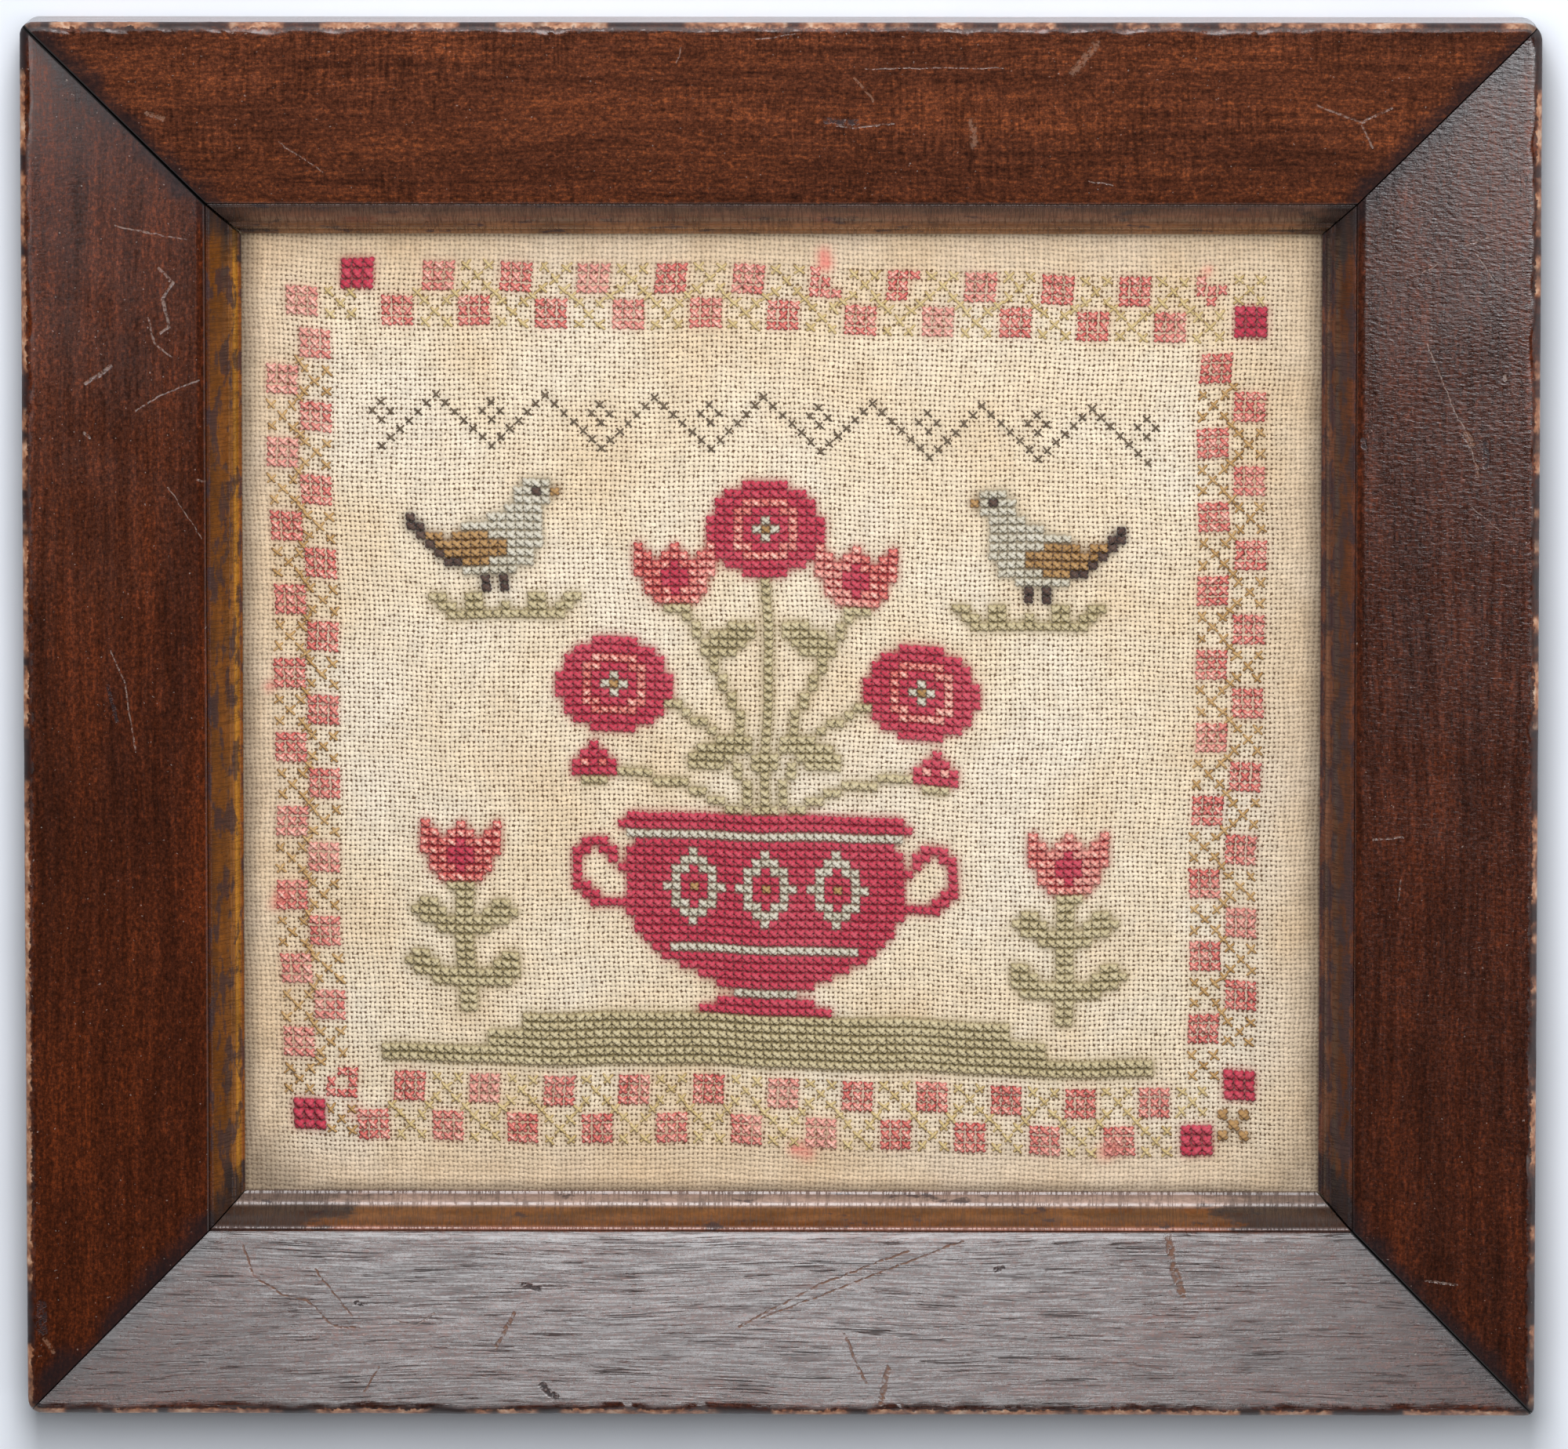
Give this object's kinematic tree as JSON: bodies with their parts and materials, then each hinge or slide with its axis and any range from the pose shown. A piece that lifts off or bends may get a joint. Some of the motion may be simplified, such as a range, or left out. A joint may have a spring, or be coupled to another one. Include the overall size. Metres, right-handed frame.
{
  "type": "framed cross stitch sampler",
  "caption": "Cross stitch sampler on open-weave cloth with a double block and star border, in a mitred bevelled wooden frame with a sight moulding.",
  "frame": {"origin": "middle of the frame's flat back, on the surface it lies on", "axes": "+Z out of the sampler's face, +X to the sampler's right, +Y to its top"},
  "size_m": [0.335, 0.3096, 0.0238],
  "materials": {
    "frame_wood": "satin dark red-brown shellac, worn to bare wood along the outer edge",
    "sight_wood": "rubbed amber finish with blackened wear",
    "cloth": "matte cream open plain weave, browned towards its edges",
    "stitching": "matte wool thread in rose, crimson, tan, olive, cream and brown",
    "backing": "bare aged softwood"
  },
  "bodies": {
    "root": {"rail_top": "frame_wood", "rail_bottom": "frame_wood", "rail_left": "frame_wood", "rail_right": "frame_wood", "sight_top": "sight_wood", "sight_bottom": "sight_wood", "sight_left": "sight_wood", "sight_right": "sight_wood", "sampler_cloth": "cloth", "backing_board": "backing"}
  },
  "joints": []
}
